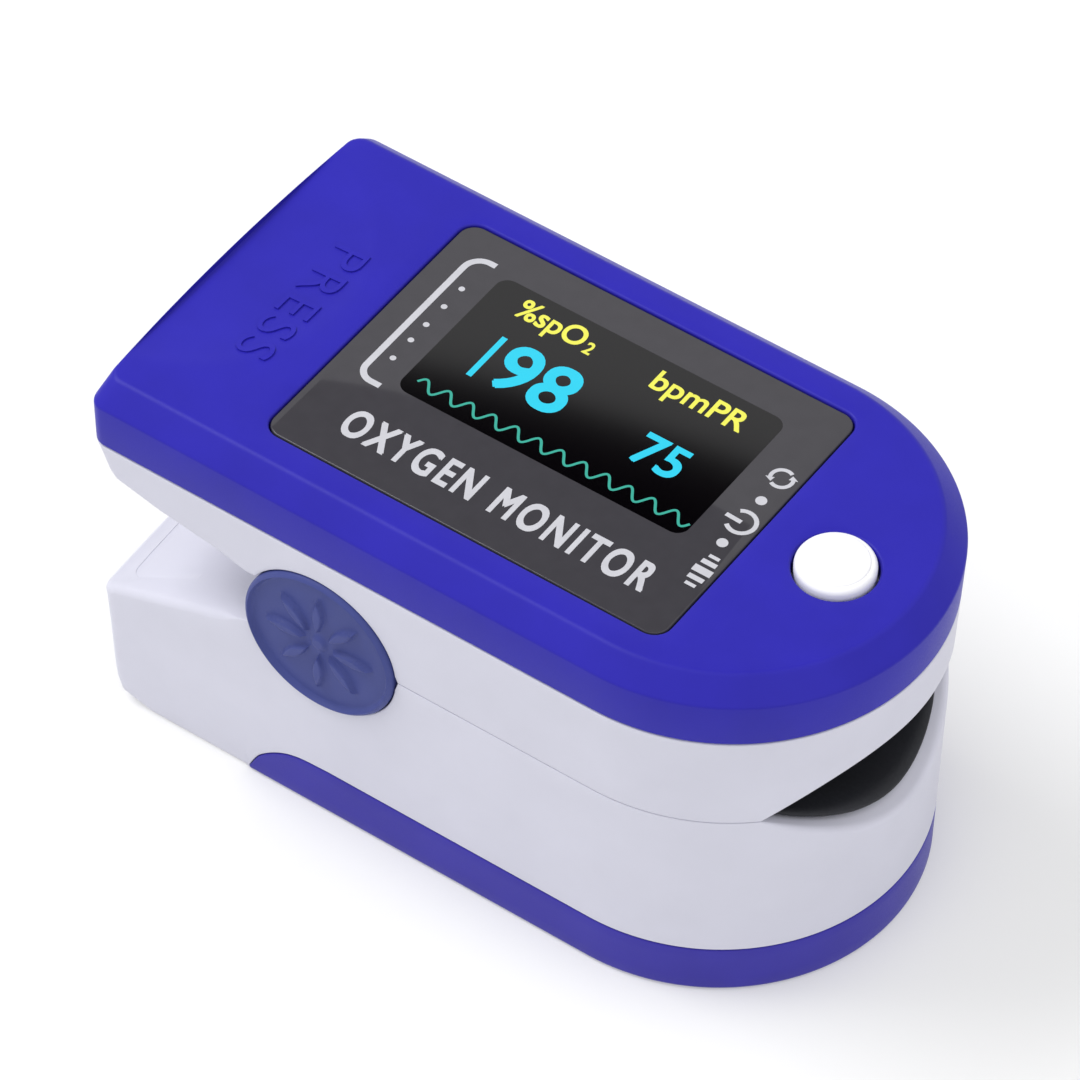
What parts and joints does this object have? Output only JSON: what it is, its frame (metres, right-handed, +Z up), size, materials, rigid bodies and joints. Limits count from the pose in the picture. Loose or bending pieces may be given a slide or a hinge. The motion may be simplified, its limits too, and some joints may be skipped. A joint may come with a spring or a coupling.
{
  "type": "fingertip pulse oximeter",
  "caption": "Clip-on fingertip pulse oximeter: hinged upper jaw with a display and power button, sprung over a lower half with finger pad and battery bay.",
  "frame": {"origin": "centre of the bounding box at the flat underside", "axes": "+X towards the finger opening, along the length; +Z up, out of the display; Y across the jaws"},
  "size_m": [0.06, 0.0332, 0.0337],
  "materials": {
    "cover_blue": "satin moulded ABS, blue",
    "door_blue": "satin moulded ABS, blue",
    "lens_smoke": "polished acrylic, smoke grey, printed on the back",
    "display_glass": "display glass, black",
    "foam_black": "closed-cell foam",
    "film_amber": "polyimide film",
    "board_green": "solder-masked fibreglass board",
    "chip_black": "moulded epoxy",
    "ferrite_grey": "ferrite",
    "connector_cream": "moulded nylon",
    "contact_metal": "nickel-plated spring steel",
    "button_white": "satin moulded ABS, white",
    "shell_white": "fine matt moulded ABS, cool white",
    "pad_black": "soft matt silicone",
    "sensor_resin": "clear-cast resin package",
    "cap_blue": "matt moulded ABS, grey blue",
    "hinge_steel": "drawn steel",
    "screw_steel": "zinc-plated steel",
    "cell_wrap": "printed film sleeve on steel can"
  },
  "bodies": {
    "lower_half": {"lower_shell": "shell_white", "lower_deck": "shell_white", "lower_pad": "pad_black", "photodiode": "sensor_resin", "sensor_board": "board_green", "battery_left": "cell_wrap", "battery_right": "cell_wrap", "bridge_contact": "contact_metal", "positive_contact": "contact_metal", "negative_contact": "contact_metal", "side_cap_left": "cap_blue", "side_cap_right": "cap_blue", "hinge_pin_left": "hinge_steel", "hinge_pin_right": "hinge_steel", "torsion_spring_left": "hinge_steel", "torsion_spring_right": "hinge_steel", "sensor_flex": "film_amber", "lower_screw_1": "screw_steel", "lower_screw_2": "screw_steel", "lower_screw_3": "screw_steel", "lower_screw_4": "screw_steel"},
    "upper_jaw": {"top_cover": "cover_blue", "display_lens": "lens_smoke", "oled_panel": "display_glass", "oled_foam": "foam_black", "oled_flex": "film_amber", "main_board": "board_green", "microcontroller": "chip_black", "signal_amplifier": "chip_black", "boost_inductor": "ferrite_grey", "power_regulator": "chip_black", "flex_connector": "connector_cream", "tact_switch_body": "contact_metal", "upper_shell": "shell_white", "upper_pad": "pad_black", "emitter_led": "sensor_resin", "emitter_board": "board_green", "upper_screw_1": "screw_steel", "upper_screw_2": "screw_steel", "upper_screw_3": "screw_steel", "upper_screw_4": "screw_steel"},
    "button": {"power_button": "button_white"},
    "plunger": {"tact_switch_plunger": "chip_black"},
    "door": {"battery_door": "door_blue"}
  },
  "joints": [
    {"name": "jaw_hinge", "type": "hinge", "parent": "lower_half", "child": "upper_jaw", "pos_m": [-0.0097, 0, 0.0184], "axis": [0, -1, 0], "range_deg": [0, 28], "stiffness_Nm_per_rad": 0.12, "springref_deg": -28.65, "deforming": ["torsion_spring_left", "torsion_spring_right", "sensor_flex"]},
    {"name": "button_press", "type": "slide", "parent": "upper_jaw", "child": "button", "axis": [0, 0, -1], "range_m": [0, 0.0004], "stiffness_N_per_m": 2500},
    {"name": "switch_press", "type": "slide", "parent": "upper_jaw", "child": "plunger", "axis": [0, 0, -1], "range_m": [0, 0.0004]},
    {"name": "door_slide", "type": "slide", "parent": "lower_half", "child": "door", "axis": [1, 0, 0], "range_m": [0, 0.06]}
  ],
  "couplings": [
    {"joint": "switch_press", "follows": "button_press", "ratio": 1}
  ]
}
